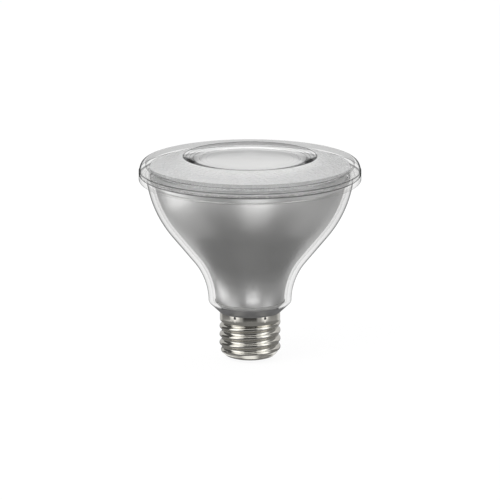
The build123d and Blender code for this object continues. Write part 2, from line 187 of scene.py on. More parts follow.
def eased(outline):  # rounds each corner that carries a third number, its radius
    points = []
    for index, corner in enumerate(outline):
        here = Vector(corner[:2])
        if len(corner) == 2:
            points.append(here)
            continue
        radius = corner[2]
        back = (Vector(outline[index - 1][:2]) - here).normalized()
        onward = (Vector(outline[(index + 1) % len(outline)][:2]) - here).normalized()
        half = back.angle(onward) / 2
        centre = here + (back + onward).normalized() * radius / math.sin(half)
        first = here + back * radius / math.tan(half) - centre
        last = here + onward * radius / math.tan(half) - centre
        for step in range(cornerSteps + 1):
            points.append(centre + first.lerp(last, step / cornerSteps).normalized() * radius)
    return points


def arc(centre, width, height, start, end, count):  # part of an ellipse, angles in degrees
    angles = [math.radians(start + (end - start) * step / count) for step in range(count + 1)]
    return [(centre[0] + width * math.cos(a), centre[1] + height * math.sin(a)) for a in angles]


def run(first, last, count):  # evenly spaced points between two, without the ends
    return [tuple(Vector(first).lerp(Vector(last), step / count)) for step in range(1, count)]


def smooth(share):  # 0 to 1 with level ends
    return share * share * (3 - 2 * share)


def startVertex(name):
    bpy.ops.object.select_all(action="DESELECT")
    bpy.ops.mesh.primitive_plane_add(size=mm)
    piece = bpy.context.object
    piece.name = name
    piece.data.name = name
    bpy.ops.object.mode_set(mode="EDIT")
    bpy.ops.mesh.merge(type="CENTER")
    return piece


def lathe(name, outline, steps):
    piece = startVertex(name)
    path = [Vector((radius * mm, 0, height * mm)) for radius, height in eased(outline)]
    path.append(path[0])
    bpy.ops.transform.translate(value=path[0])
    for here, onward in zip(path, path[1:]):
        bpy.ops.mesh.extrude_region_move(TRANSFORM_OT_translate={"value": onward - here})
    bpy.ops.mesh.select_all(action="SELECT")
    bpy.ops.mesh.remove_doubles(threshold=mergeGap)
    bpy.ops.mesh.spin(steps=steps, angle=2 * math.pi, center=(0, 0, 0), axis=(0, 0, 1))
    bpy.ops.mesh.select_all(action="SELECT")
    bpy.ops.mesh.remove_doubles(threshold=mergeGap)
    bpy.ops.mesh.normals_make_consistent(inside=False)
    bpy.ops.object.mode_set(mode="OBJECT")
    bpy.ops.object.shade_smooth_by_angle(angle=math.radians(smoothAngle))
    return piece


def settle(piece, material, node):
    piece.data.materials.clear()
    piece.data.materials.append(material)
    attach(piece, "root")
    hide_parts(node)
    print("made", piece.name, "with", len(piece.data.polygons), "faces")


nodeBox = {name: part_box(name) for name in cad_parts}  # read once, the CAD meshes are large


def top(node):
    return nodeBox[node][1].z / mm


def foot(node):
    return nodeBox[node][0].z / mm


def reach(node):
    return nodeBox[node][1].x / mm


# clear glass bowl with its neck and flange

bowlDims = {
    "wall": 1.8,
    "neck": 17.7,          # radius of the neck
    "neckRise": 4.4,       # height of the tapered end
    "neckRound": 1.6,
    "lip": 13.1,           # radius where the taper meets the screw shell
    "lipRound": 0.25,
    "stub": 12.55,         # what goes down into the shell
    "stubRound": 0.3,
    "throatRise": 0.3,     # from the lip to where the bore widens
    "throatRound": 0.8,
    "coneLean": 39.4,      # degrees from upright
    "topLean": 8.8,
    "shoulderArc": 48.1,
    "top": 44.1,           # radius under the flange
    "flangeStep": 0.05,
    "flangeHeight": 2.6,
    "flangeRound": 1.1,
    "flangeEdge": 0.35,
    "bore": 42.7,          # the lens drops into this
    "boreRound": 0.3,
    "arcRows": 14,
    "coneRows": 4,
    "steps": 180,
}


class BowlShape:  # the bowl's outline, set in from the outside of the glass
    def __init__(self, dims):
        lean = math.radians(dims["coneLean"])
        topLean = math.radians(dims["topLean"])
        self.lean = dims["coneLean"]
        self.coneRows = dims["coneRows"]
        self.lipZ = top("screw_shell")
        self.neckZ = self.lipZ + dims["neckRise"]
        self.topZ = top("glass_body") - dims["flangeHeight"]
        self.shoulder = dims["shoulderArc"]
        rise = self.topZ - self.neckZ - self.shoulder * (math.sin(lean) - math.sin(topLean))
        reachOut = dims["top"] - dims["neck"] - self.shoulder * (math.cos(topLean) - math.cos(lean))
        self.neckArc = (rise * math.sin(lean) - reachOut * math.cos(lean)) / (1 - math.cos(lean))
        self.neckCentre = (dims["neck"] + self.neckArc, self.neckZ)
        drop = self.shoulder * math.sin(topLean)
        self.shoulderCentre = (dims["top"] - self.shoulder * math.cos(topLean), self.topZ + drop)

    def side(self, depth, low, high, rows):  # from the neck up
        neckArc = self.neckArc + depth
        shoulder = self.shoulder - depth
        lowTurn = math.degrees(math.asin((low - self.neckZ) / neckArc))
        highTurn = math.degrees(math.asin((self.shoulderCentre[1] - high) / shoulder))
        lower = arc(self.neckCentre, neckArc, neckArc, 180 - lowTurn, 180 - self.lean, rows)
        upper = arc(self.shoulderCentre, shoulder, shoulder, -self.lean, -highTurn, rows)
        return lower + run(lower[-1], upper[0], self.coneRows) + upper


bowl = BowlShape(bowlDims)


def makeBowl():
    d = bowlDims
    flange = reach("glass_body")
    flangeTop = top("glass_body")
    stubZ = foot("glass_body")
    outer = bowl.side(0, bowl.neckZ, bowl.topZ, d["arcRows"])
    inner = bowl.side(d["wall"], bowl.neckZ, bowl.topZ, d["arcRows"])
    throat = d["stub"] - d["wall"]
    outline = [
        (throat, stubZ),
        (d["stub"], stubZ, d["stubRound"]),
        (d["stub"], bowl.lipZ),
        (d["lip"], bowl.lipZ, d["lipRound"]),
        (*outer[0], d["neckRound"]),
        *outer[2:],
        (outer[-1][0] + d["flangeStep"], bowl.topZ),
        (flange, bowl.topZ, d["flangeRound"]),
        (flange, flangeTop, d["flangeEdge"]),
        (d["bore"], flangeTop, d["boreRound"]),
        (d["bore"], bowl.topZ),
        *inner[::-1],
        (throat, bowl.lipZ + d["throatRise"], d["throatRound"]),
    ]
    return lathe("glassBowl", outline, d["steps"])


# front lens

lensDims = {
    "rimHeight": 1.9,
    "rimRound": 0.2,
    "rimFoot": 0.35,       # rounding of the rim's lower edge
    "ledge": 0.3,
    "ridge": 44.9,
    "ridgeRise": 3.5,
    "ridgeRound": 0.35,
    "gutter": 1.6,
    "gutterRound": 0.4,
    "dome": 115.0,
    "crest": 28.7,
    "crestRound": 0.2,
    "crestStep": 0.5,      # from the crest to the first row of the stippled ring
    "wall": 2.8,
    "windowRecess": 1.0,
    "cove": 5.2,           # width of the curved wall around the window
    "pane": 21.6,
    "paneRow": 3.0,        # from the pane's edge to its first row of faces
    "paneRecess": 0.3,
    "paneRound": 0.15,
    "paneWall": 2.6,
    "spigot": 42.6,
    "spigotWall": 1.8,
    "spigotLength": 2.1,
    "spigotRound": 0.3,
    "seatRound": 0.2,
    "pebble": 1.3,
    "pebbleDepth": 0.16,
    "pebbleEdge": 0.2,     # plain margin on both sides of the pebbles
    "pebbleCuts": 2,
    "rows": 12,
    "ridgeRows": 5,
    "underRows": 8,
    "steps": 216,
}
lensRimZ = foot("front_lens") + lensDims["spigotLength"]
gutterOut = lensDims["ridge"] - lensDims["ridgeRound"]
gutterIn = gutterOut - lensDims["gutter"]
spigotBore = lensDims["spigot"] - lensDims["spigotWall"]


def makeLens():
    d = lensDims
    rim = reach("front_lens")
    crestZ = top("front_lens")
    rimTop = lensRimZ + d["rimHeight"]
    ridgeZ = rimTop + d["ridgeRise"] - d["ridgeRound"]
    spigotZ = lensRimZ - d["spigotLength"]
    windowZ = crestZ - d["windowRecess"]
    paneZ = windowZ - d["paneRecess"]
    underZ = paneZ - d["paneWall"]
    domeZ = crestZ - math.sqrt(d["dome"] ** 2 - d["crest"] ** 2)
    rows, underRows = d["rows"], d["underRows"]

    def domeAt(radius, depth=0):
        return (radius, domeZ + math.sqrt((d["dome"] - depth) ** 2 - radius**2))

    faceIn = d["crest"] + d["crestStep"]
    face = [domeAt(faceIn + (gutterIn - faceIn) * n / rows) for n in range(rows + 1)]
    ridge = arc((d["ridge"], ridgeZ), d["ridgeRound"], d["ridgeRound"], 180, 90, d["ridgeRows"])
    shoulder = arc((d["ridge"], rimTop), rim - d["ledge"] - d["ridge"], d["ridgeRise"], 85, 0, rows)
    underEdge = math.sqrt((d["dome"] - d["wall"]) ** 2 - (underZ - domeZ) ** 2)
    underSpan = underEdge - spigotBore
    under = [domeAt(spigotBore + underSpan * n / underRows, d["wall"]) for n in range(underRows + 1)]
    coveIn = d["crest"] - d["cove"]
    coveBend = (d["cove"] ** 2 + d["windowRecess"] ** 2) / (2 * d["windowRecess"])
    coveTurn = math.degrees(math.asin(d["cove"] / coveBend))
    cove = arc((coveIn, windowZ + coveBend), coveBend, coveBend, -90, -90 + coveTurn, rows)
    outline = [
        (0, paneZ),
        (d["pane"] - d["paneRow"], paneZ),
        (d["pane"] - d["paneRecess"], paneZ, d["paneRound"]),
        (d["pane"], windowZ, d["paneRound"]),
        *cove[:-1],
        (*cove[-1], d["crestRound"]),
        *face,
        (gutterOut, face[-1][1], d["gutterRound"]),
        *ridge,
        *shoulder,
        (rim, rimTop, d["rimRound"]),
        (rim, lensRimZ, d["rimFoot"]),
        (d["spigot"], lensRimZ, d["seatRound"]),
        (d["spigot"], spigotZ, d["spigotRound"]),
        (spigotBore, spigotZ, d["spigotRound"]),
        *under,
        (0, underZ),
    ]
    lens = lathe("frontLens", outline, d["steps"])
    stipple(lens, face[0][0], face[-1][0])
    return lens


def stipple(lens, inner, outer):  # pebbles pressed into the ring around the window
    d = lensDims
    leastUp = 0.5  # upward part of a normal on the ring's upper face
    bpy.ops.object.mode_set(mode="EDIT")
    bpy.ops.mesh.select_all(action="DESELECT")
    bpy.ops.mesh.select_mode(type="FACE")
    bpy.ops.object.mode_set(mode="OBJECT")
    for face in lens.data.polygons:
        radius = math.hypot(face.center.x, face.center.y) / mm
        face.select = inner < radius < outer and face.normal.z > leastUp
    bpy.ops.object.mode_set(mode="EDIT")
    bpy.ops.mesh.subdivide(number_cuts=d["pebbleCuts"], smoothness=0)
    bpy.ops.object.mode_set(mode="OBJECT")
    group = lens.vertex_groups.new(name="stipple")
    for vertex in lens.data.vertices:
        radius = math.hypot(vertex.co.x, vertex.co.y) / mm
        if inner + d["pebbleEdge"] < radius < outer - d["pebbleEdge"] and vertex.normal.z > leastUp:
            group.add([vertex.index], 1, "REPLACE")
    pebbles = bpy.data.textures.new("pebbles", type="VORONOI")
    pebbles.noise_scale = d["pebble"] * mm
    bpy.ops.object.modifier_add(type="DISPLACE")
    press = lens.modifiers[-1]
    press.texture = pebbles
    press.texture_coords = "LOCAL"
    press.vertex_group = group.name
    press.strength = -d["pebbleDepth"] * mm
    press.mid_level = 0
    bpy.ops.object.modifier_apply(modifier=press.name)
    bpy.ops.object.mode_set(mode="EDIT")
    bpy.ops.mesh.select_mode(type="VERT")
    bpy.ops.object.mode_set(mode="OBJECT")


# satin metal liner

linerDims = {
    "depth": 3.0,  # in from the outside of the glass
    "wall": 0.8,
    "lip": 0.35,
    "arcRows": 22,
    "steps": 180,
}


def makeLiner():
    d = linerDims
    low, high = foot("reflector_liner"), top("reflector_liner")
    outer = bowl.side(d["depth"], low, high, d["arcRows"])
    inner = bowl.side(d["depth"] + d["wall"], low, high, d["arcRows"])
    outline = [*outer[:-1], (*outer[-1], d["lip"]), (*inner[-1], d["lip"]), *inner[-2::-1]]
    return lathe("satinLiner", outline, d["steps"])


# rolled screw shell

shellDims = {
    "wall": 0.3,
    "mouth": 8.7,
    "root": 12.1,
    "collar": 12.95,
    "collarHeight": 3.5,
    "pitch": 3.629,
    "depth": 1.0,
    "firstTurn": 4.05,   # height of the thread over the shell's foot where it first crosses +X
    "begin": -0.35,      # turns from there to where the full thread begins and ends
    "end": 3.05,
    "fade": 0.35,
    "threadFoot": 0.3,   # share of the heel's height that stays plain
    "stakes": 6,
    "stakeRadius": 0.4,
    "stakeDrop": 0.6,
    "stakeShadeReach": 0.35,   # how far the painted shade goes round a stake
    "punchLength": 2.0,
    "punchSides": 20,
    "edgeAngle": 40,     # degrees, a sharper turn keeps its edge
    "bendRows": 10,
    "threadRows": 78,
    "steps": 192,
}


def threadHeight(angle, height):
    d = shellDims
    start = foot("screw_shell") + d["firstTurn"]
    turn = angle / (2 * math.pi)
    lap = round((height - start) / d["pitch"] - turn)
    along = lap + turn
    offset = abs(height - start - along * d["pitch"])
    half = d["pitch"] / 2
    swing = 2 * math.atan(d["depth"] / half)  # where crest and root arcs meet
    bend = half / (2 * math.sin(swing))
    if offset < half / 2:
        rise = d["depth"] - bend + math.sqrt(bend**2 - offset**2)
    else:
        rise = bend - math.sqrt(bend**2 - (half - offset) ** 2)
    fadeIn = min(max(1 + (along - d["begin"]) / d["fade"], 0), 1)
    fadeOut = min(max(1 - (along - d["end"]) / d["fade"], 0), 1)
    return rise * smooth(min(fadeIn, fadeOut))


def inwardVertices(piece):  # those whose normal points to the axis
    turned = set()
    for vertex in piece.data.vertices:
        if vertex.normal.x * vertex.co.x + vertex.normal.y * vertex.co.y < 0:
            turned.add(vertex.index)
    return turned


def makeShell():
    d = shellDims
    low, high = foot("screw_shell"), top("screw_shell")
    heel = d["root"] - d["mouth"]
    collarZ = high - d["collarHeight"]
    neckZ = collarZ - d["depth"]
    shares = [n / d["bendRows"] for n in range(d["bendRows"] + 1)]

    def wallSide(depth):
        root = d["root"] - depth
        collar = d["collar"] - depth
        bend = arc((d["mouth"], low + heel), heel - depth, heel - depth, -90, 0, d["bendRows"])
        thread = run(bend[-1], (root, neckZ), d["threadRows"])
        swell = [(root + (collar - root) * smooth(t), neckZ + d["depth"] * t) for t in shares]
        return [*bend, *thread, *swell, (collar, high)]

    outline = [*wallSide(0), *wallSide(d["wall"])[::-1]]
    shell = lathe("screwShell", outline, d["steps"])
    inward = inwardVertices(shell)
    for vertex in shell.data.vertices:
        radius = math.hypot(vertex.co.x, vertex.co.y) / mm
        height = vertex.co.z / mm
        if low + heel * d["threadFoot"] < height < collarZ:
            angle = math.atan2(vertex.co.y, vertex.co.x)
            share = min(1, (height - low) / heel)
            root = d["root"] - (d["wall"] if vertex.index in inward else 0)
            grown = max(radius, min(radius, root) + threadHeight(angle, height) * share)
            vertex.co.x *= grown / radius
            vertex.co.y *= grown / radius
    punchStakes(shell, high - d["stakeDrop"])
    return shell


def punchStakes(shell, height):
    d = shellDims
    bpy.ops.object.select_all(action="DESELECT")
    punches = []
    for n in range(d["stakes"]):
        angle = 2 * math.pi * n / d["stakes"]
        place = (d["collar"] * mm * math.cos(angle), d["collar"] * mm * math.sin(angle), height * mm)
        bpy.ops.mesh.primitive_cylinder_add(
            vertices=d["punchSides"],
            radius=d["stakeRadius"] * mm,
            depth=d["punchLength"] * mm,
            location=place,
            rotation=(0, math.pi / 2, angle),
        )
        punches.append(bpy.context.object)
    for punch in punches:
        punch.select_set(True)
    bpy.ops.object.join()
    punch = bpy.context.object
    bpy.ops.object.select_all(action="DESELECT")
    shell.select_set(True)
    bpy.context.view_layer.objects.active = shell
    bpy.ops.object.modifier_add(type="BOOLEAN")
    cut = shell.modifiers[-1]
    cut.object = punch
    cut.operation = "DIFFERENCE"
    bpy.ops.object.modifier_apply(modifier=cut.name)
    bpy.data.objects.remove(punch)
    bpy.ops.object.shade_smooth_by_angle(angle=math.radians(d["edgeAngle"]))


# collimating optic

opticDims = {
    "flange": 1.5,
    "radius": 21.5,
    "foot": 7.4,
    "sideArc": 55.0,
    "well": 6.0,
    "wellDepth": 8.5,
    "crown": 2.4,
    "rings": 5,
    "ringDepth": 0.4,
    "edgeRound": 0.2,
    "sideRows": 18,
    "crownRows": 10,
    "steps": 144,
}


def makeOptic():
    d = opticDims
    low, high = foot("collimator"), top("collimator")
    flange = reach("collimator")
    seat = high - d["flange"]
    first, last = Vector((d["foot"], low)), Vector((d["radius"], seat))
    chord = last - first
    inward = Vector((-chord.y, chord.x)).normalized()
    toCentre = math.sqrt(d["sideArc"] ** 2 - (chord.length / 2) ** 2)
    centre = (first + last) / 2 + inward * toCentre
    startTurn = math.degrees(math.atan2(*(first - centre).yx))
    endTurn = math.degrees(math.atan2(*(last - centre).yx))
    side = arc(centre, d["sideArc"], d["sideArc"], startTurn, endTurn, d["sideRows"])
    crown = arc((0, low + d["wellDepth"]), d["well"], -d["crown"], 90, 0, d["crownRows"])
    step = d["radius"] / (d["rings"] + 1)
    teeth = []
    for n in range(d["rings"], 0, -1):
        teeth += [(n * step + step, high), (n * step, high - d["ringDepth"])]
    outline = [
        *crown,
        (d["well"], low, d["edgeRound"]),
        *side,
        (flange, seat, d["edgeRound"]),
        (flange, high, d["edgeRound"]),
        *teeth,
        (step, high),
        (0, high),
    ]
    return lathe("collimatingOptic", outline, d["steps"])


# finishes

# the painted liner reflection that glass walls carry, shown to the camera only
paintedSheenLook = {
    "out": 0.96,         # the mirrored normal leans out and down
    "down": 0.28,
    "colour": (0.93, 0.93, 0.928, 1),
    "roughness": 0.32,
    "grain": 0.05,       # what the grain adds to the roughness
}


def paintedLinerSheen(m, grain):  # painted reflection: the liner's satin sheen drawn over a glass wall, its normals leaned like the liner's
    look = paintedSheenLook
    x, y = m.split(m.place())[:2]
    across = (x * x + y * y) ** 0.5
    lean = m.add("ShaderNodeCombineXYZ", None, {
        "X": x / across * look["out"],
        "Y": y / across * look["out"],
        "Z": -look["down"],
    })
    return m.principled({
        "Base Color": look["colour"],
        "Metallic": 1.0,
        "Roughness": look["roughness"] + look["grain"] * grain,
        "Normal": lean,
    })


bowlLook = {
    "clear": (0.975, 0.975, 0.973),
    "edgeOn": (0.3, 0.305, 0.305),   # what a wall seen edge-on lets through
    "gloss": 0.03,
    "ripple": 14,                    # sizes of the waves and the grit in mm
    "grit": 0.7,
    "taperSkin": 1.3,                # depth of the tapered end's outer face
    "cementFade": (-1.1, 0.5),       # heights from the neck over which the cement ends
    "seatRadii": (-0.5, 0.3),        # painted liner reflection band, from the bore and from the flange's foot
    "seatHeights": (-0.4, 1.7),
}


def clearBowlGlass():
    m = newFinish("clearBowlGlass")
    d, look = bowlDims, bowlLook
    place = m.place()
    radius, height = m.axisPlace()
    facing = m.facing()
    outer = m.outward()
    ripple = m.noise(m.stretched(place, 1, 1, 0.35), look["ripple"], 1)
    grit = m.noise(place, look["grit"], 3, 0.6)
    through = m.seeThrough(*look["clear"])
    dark = m.seeThrough(*look["edgeOn"])
    shine = m.glossy(0.03, m.bump(ripple, 0.05, 0.3))
    gloss = look["gloss"] + (0.2 + 0.5 * outer) * facing**5  # the outer wall mirrors more
    glass = m.mixed(outer * m.ramp(facing, 0.8, 0.97), m.mixed(gloss, through, shine), dark)
    backed = m.principled({  # the cement fills what shows through the tapered end
        "Base Color": m.tint(grit, (0.12, 0.12, 0.122), (0.17, 0.17, 0.172)),
        "Roughness": 0.4,
        "Coat Weight": 1.0,
        "Coat Roughness": 0.04,
        "Normal": m.bump(grit, 0.02, 0.3),
    })
    slope = (d["neck"] - d["lip"]) / d["neckRise"]
    skin = radius - (d["lip"] - look["taperSkin"]) - (height - bowl.lipZ) * slope
    fadeLow, fadeHigh = (bowl.neckZ + part for part in look["cementFade"])
    taper = m.front() * m.ramp(skin, -0.1, 0.1) * (1 - m.ramp(height, fadeLow, fadeHigh))
    seatIn, seatOut = (d["bore"] + part for part in look["seatRadii"])
    seatLow, seatHigh = (bowl.topZ + part for part in look["seatHeights"])
    # painted reflection: the liner's sheen drawn on the bore's inner wall, for the camera only
    seat = (1 - outer) * m.band(radius, seatIn, seatOut, 0.1, 0.1)
    seat = seat * m.band(height, seatLow, seatHigh, 0.2, 0.2)
    return m.shows(m.mixed(seat * m.drawn(), m.mixed(taper, glass, backed), paintedLinerSheen(m, grit)))


lensLook = {
    "clear": (0.97, 0.97, 0.968),
    "edgeOn": (0.2, 0.203, 0.205),   # the painted dark of edges and lines, drawn for the camera only
    "milk": 0.93,
    "haze": 0.48,                    # share of milk in the window
    "rimHaze": 0.41,                 # what the rim and the cove have less
    "coveHaze": 0.18,
    "frost": (0.88, 0.88, 0.88, 1),
    "frostedGlass": (0.93, 0.935, 0.94, 1),
    "grain": 0.3,                    # sizes in mm
    "blotch": 1.6,
    "ripple": 5,
    "coveRings": 4.2,                # faint painted dark rings, radians to a mm
    "paneRings": 3.1,
    "paneRingsFrom": (15, 19),       # radii between which they come up
    "rimWall": (46.8, 47.0),         # and the rim's upright wall
    "skirtHalf": 0.6,                # painted liner reflection on both sides of the spigot's bore
    "skirtTop": 1.6,
}


def lensGlass():
    m = newFinish("lensGlass")
    d, look = lensDims, lensLook
    place = m.place()
    radius, height = m.axisPlace()
    facing = m.facing()
    outer = m.outward()
    coveIn = d["crest"] - d["cove"]
    ring = m.band(radius, d["crest"], gutterIn - 0.15, 0.4, 0.3)
    rim = m.ramp(radius, gutterIn - 0.45, gutterIn + 0.55)
    wall = m.ramp(radius, *look["rimWall"])
    window = 1 - m.ramp(radius, d["crest"] - 0.1, d["crest"] + 0.1)
    cove = window * m.ramp(radius, coveIn - 1, coveIn + 1)
    grain = m.noise(place, look["grain"], 2)
    blotch = m.noise(place, look["blotch"], 2, 0.7)
    cells = m.add("ShaderNodeTexVoronoi", None, {"Vector": place, "Scale": 1 / (d["pebble"] * mm)})
    pebbles = m.bump(cells.out("Distance") + 0.3 * grain, 0.5, 1.0)
    through = m.seeThrough(*look["clear"])
    dark = m.seeThrough(*look["edgeOn"])
    shine = m.glossy(0.04, m.bump(m.noise(place, look["ripple"], 1), 0.03, 0.3))
    gloss = m.front() * (0.04 + 0.6 * facing**5)

    def paintedLine(value, at, half, depth):  # a thin painted dark line where the form turns sharply, standing in for refraction
        return (1 - m.ramp(value.maths("ABSOLUTE", value - at), half * 0.5, half * 1.5)) * depth

    def rings(rate, low, high):
        return m.ramp(radius.maths("SINE", radius * rate), low, high)

    # painted shade: dark edges, lines, cove crescents and rings that stand in for refraction
    shades = [
        m.ramp(facing, 0.78 + 0.07 * rim, 0.96),                         # painted dark where walls are seen edge-on
        cove * m.ramp(facing, 0.772, 0.82) * m.ramp(blotch, 0.3, 0.48),  # painted mottled shade where the cove turns from the view
        cove * (1 - m.ramp(facing, 0.62, 0.76)) * 0.38,                  # painted shade where the cove turns to the view
        cove * rings(look["coveRings"], 0.6, 0.95) * 0.55,
        window * m.ramp(radius, *look["paneRingsFrom"]) * rings(look["paneRings"], 0.7, 1.0) * 0.14,
        paintedLine(radius, d["crest"] - 0.25, 0.2, 0.75),
        paintedLine(radius, d["ridge"] - 0.3, 0.16, 0.45),
        paintedLine(radius, gutterIn, 0.2, 0.5),
        rim * outer * m.ramp(facing, 0.76, 0.88),
        wall * paintedLine(height, lensRimZ + d["rimHeight"], 0.18, 0.85),
        wall * paintedLine(height, lensRimZ + 0.1, 0.16, 0.85),
    ]
    shade = shades[0]
    for other in shades[1:]:
        shade = shade.maths("MAXIMUM", shade, other)
    drawn = m.drawn()  # the painted dark lines and the painted liner reflection show to the camera only and shade nothing else
    haze = look["haze"] - look["rimHaze"] * rim - look["coveHaze"] * cove
    haze = haze * (0.4 + 0.6 * m.ramp(facing, 0.3, 0.74))  # clearer from above
    body = m.mixed(haze, through, m.matt(look["milk"]))
    clear = m.mixed(shade * drawn, m.mixed(gloss, body, shine), dark)
    frosted = m.principled({
        "Base Color": look["frostedGlass"],
        "Roughness": 0.3,
        "IOR": 1.5,
        "Transmission Weight": 1.0,
        "Normal": pebbles,
    })
    frost = m.principled({"Base Color": look["frost"], "Roughness": 0.14, "Normal": pebbles})
    glass = m.mixed(ring, clear, m.mixed(0.5, frosted, frost))
    # painted reflection: the liner's sheen drawn round the spigot's bore, for the camera only
    skirtTop = lensRimZ + look["skirtTop"]
    paintedSheenBand = m.band(radius, spigotBore - look["skirtHalf"], spigotBore + look["skirtHalf"], 0.3, 0.2)
    paintedSheenBand = paintedSheenBand * (1 - m.ramp(height, skirtTop - 0.4, skirtTop))
    return m.shows(m.mixed(paintedSheenBand * drawn, glass, paintedLinerSheen(m, grain)))


def opticAcrylic():
    m = newFinish("opticAcrylic")
    facing = m.facing()
    flow = m.noise(m.place(), 3, 2)
    through = m.seeThrough(0.97, 0.97, 0.968)
    dark = m.seeThrough(0.35, 0.352, 0.355)
    shine = m.glossy(0.05, m.bump(flow, 0.02, 0.3))
    gloss = 0.04 + 0.7 * facing**5
    return m.shows(m.mixed(m.ramp(facing, 0.82, 0.97), m.mixed(gloss, through, shine), dark))


def satinAluminium():
    m = newFinish("satinAluminium")
    place = m.place()
    spun = m.noise(m.stretched(place, 0.15, 0.15, 6), 1.1, 3, 0.6)
    cloud = m.noise(place, 16, 3)
    return m.shows(m.principled({
        "Base Color": m.tint(cloud, (0.79, 0.789, 0.787), (0.85, 0.849, 0.847)),
        "Metallic": 1.0,
        "Roughness": 0.36 + 0.06 * spun,
        "Normal": m.bump(spun, 0.02, 0.25),
    }))


def rolledNickel():
    m = newFinish("rolledNickel")
    d = shellDims
    place = m.place()
    x, y, z = m.split(place)
    scuff = m.noise(m.stretched(place, 1, 1, 5), 0.6, 4, 0.65)
    cloud = m.noise(place, 5, 2)
    nickel = m.principled({
        "Base Color": m.tint(cloud, (0.80, 0.775, 0.71), (0.86, 0.84, 0.78)),
        "Metallic": 1.0,
        "Roughness": 0.07 + 0.06 * scuff,
        "Normal": m.bump(scuff, 0.006, 0.15),
    })
    turns = y.maths("ARCTAN2", y, x) * (d["stakes"] / (2 * math.pi))
    aside = (turns - turns.maths("ROUND", turns)) * (2 * math.pi * d["collar"] / d["stakes"])
    above = z / mm - (top("screw_shell") - d["stakeDrop"])
    away = (aside * aside + above * above) ** 0.5  # from the nearest stake
    # painted shade round each stake dent, wider than the dent itself
    paintedStakeShade = m.principled({"Base Color": (0.03, 0.029, 0.027, 1), "Roughness": 0.6})
    outsideStakeShade = m.ramp(away, d["stakeRadius"] + 0.05, d["stakeRadius"] + d["stakeShadeReach"])
    return m.shows(m.mixed(1 - outsideStakeShade, nickel, paintedStakeShade))


def clearSilicone():
    m = newFinish("clearSilicone")
    speckle = m.noise(m.place(), 0.8, 2)
    through = m.seeThrough(0.96, 0.96, 0.958)
    # painted shade along the seam: the outward faces dark grey, the inward faces clear
    side = m.principled({
        "Base Color": m.tint(speckle, (0.1, 0.1, 0.102), (0.16, 0.16, 0.162)),
        "Roughness": 0.4,
    })
    return m.shows(m.mixed(m.outward(), m.mixed(0.08 + 0.08 * speckle, through, m.matt(0.9)), side))


def plainFinish(name, colour, roughness, metal=0.0, grain=0.6, depth=0.03, spread=0.12):
    m = newFinish(name)
    speckle = m.noise(m.place(), grain, 3, 0.6)
    low = [c * (1 - spread) for c in colour]
    high = [min(1, c * (1 + spread)) for c in colour]
    return m.shows(m.principled({
        "Base Color": m.tint(speckle, low, high),
        "Metallic": metal,
        "Roughness": roughness - 0.05 + 0.1 * speckle,
        "Normal": m.bump(speckle, depth, 0.4),
    }))


settle(makeBowl(), clearBowlGlass(), "glass_body")
settle(makeLens(), lensGlass(), "front_lens")
settle(makeLiner(), satinAluminium(), "reflector_liner")
settle(makeShell(), rolledNickel(), "screw_shell")
settle(makeOptic(), opticAcrylic(), "collimator")

# CAD pieces that stay as they are

cement = plainFinish("greyCement", (0.4, 0.4, 0.395), 0.8, grain=0.5, depth=0.08)
blackGlass = plainFinish("blackInsulator", (0.02, 0.02, 0.022), 0.25, depth=0.01)
contactMetal = plainFinish(
    "contactNickel", (0.75, 0.73, 0.68), 0.22, metal=1.0, grain=0.4, depth=0.01, spread=0.06
)
bead = clearSilicone()
whiteMoulding = plainFinish("whiteMoulding", (0.82, 0.82, 0.815), 0.45, grain=0.9, depth=0.02, spread=0.03)
milledPlate = plainFinish(
    "milledAluminium", (0.7, 0.7, 0.71), 0.35, metal=1.0, grain=0.5, depth=0.02, spread=0.05
)
whiteMask = plainFinish("whiteSolderMask", (0.8, 0.8, 0.79), 0.35, grain=0.7, depth=0.01, spread=0.03)
whiteCeramic = plainFinish("whiteCeramic", (0.86, 0.86, 0.85), 0.5, grain=0.4, depth=0.01, spread=0.03)
phosphor = plainFinish("phosphor", (0.85, 0.68, 0.2), 0.6, grain=0.3, depth=0.02, spread=0.06)
steel = plainFinish("screwSteel", (0.6, 0.6, 0.6), 0.3, metal=1.0, grain=0.4, depth=0.01, spread=0.06)
greenBoard = plainFinish("greenBoard", (0.05, 0.22, 0.09), 0.4, grain=0.8, depth=0.02)
blackSleeve = plainFinish("blackSleeve", (0.03, 0.03, 0.032), 0.4)
ferrite = plainFinish("ferrite", (0.06, 0.06, 0.063), 0.6, grain=0.3)
yellowTape = plainFinish("yellowTape", (0.75, 0.55, 0.06), 0.35)
filmCase = plainFinish("filmCase", (0.45, 0.12, 0.05), 0.35)
resistorBody = plainFinish("resistorBody", (0.3, 0.42, 0.5), 0.45)
redLead = plainFinish("redInsulation", (0.5, 0.03, 0.03), 0.4)
blackLead = plainFinish("blackInsulation", (0.03, 0.03, 0.03), 0.4)
epoxy = plainFinish("blackEpoxy", (0.025, 0.025, 0.027), 0.5)

nodeFinish = {
    "centre_contact": contactMetal,
    "base_insulator": blackGlass,
    "neck_cement": cement,
    "rim_sealant": bead,
    "heat_spreader": milledPlate,
    "led_board": whiteMask,
    "emitter_substrate": whiteCeramic,
    "phosphor_disc": phosphor,
    "optic_holder": whiteMoulding,
    "board_screws": steel,
    "driver_housing": whiteMoulding,
    "driver_board": greenBoard,
    "bulk_capacitor": blackSleeve,
    "transformer_core": ferrite,
    "transformer_winding": yellowTape,
    "bridge_rectifier": epoxy,
    "film_capacitor": filmCase,
    "fuse_resistor": resistorBody,
    "driver_chip": epoxy,
    "positive_lead": redLead,
    "negative_lead": blackLead,
    "live_lead": redLead,
    "neutral_lead": blackLead,
}
for nodeName, material in nodeFinish.items():
    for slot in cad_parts[nodeName].material_slots:
        slot.material = material
print("finished", len(nodeFinish), "CAD pieces")

# studio

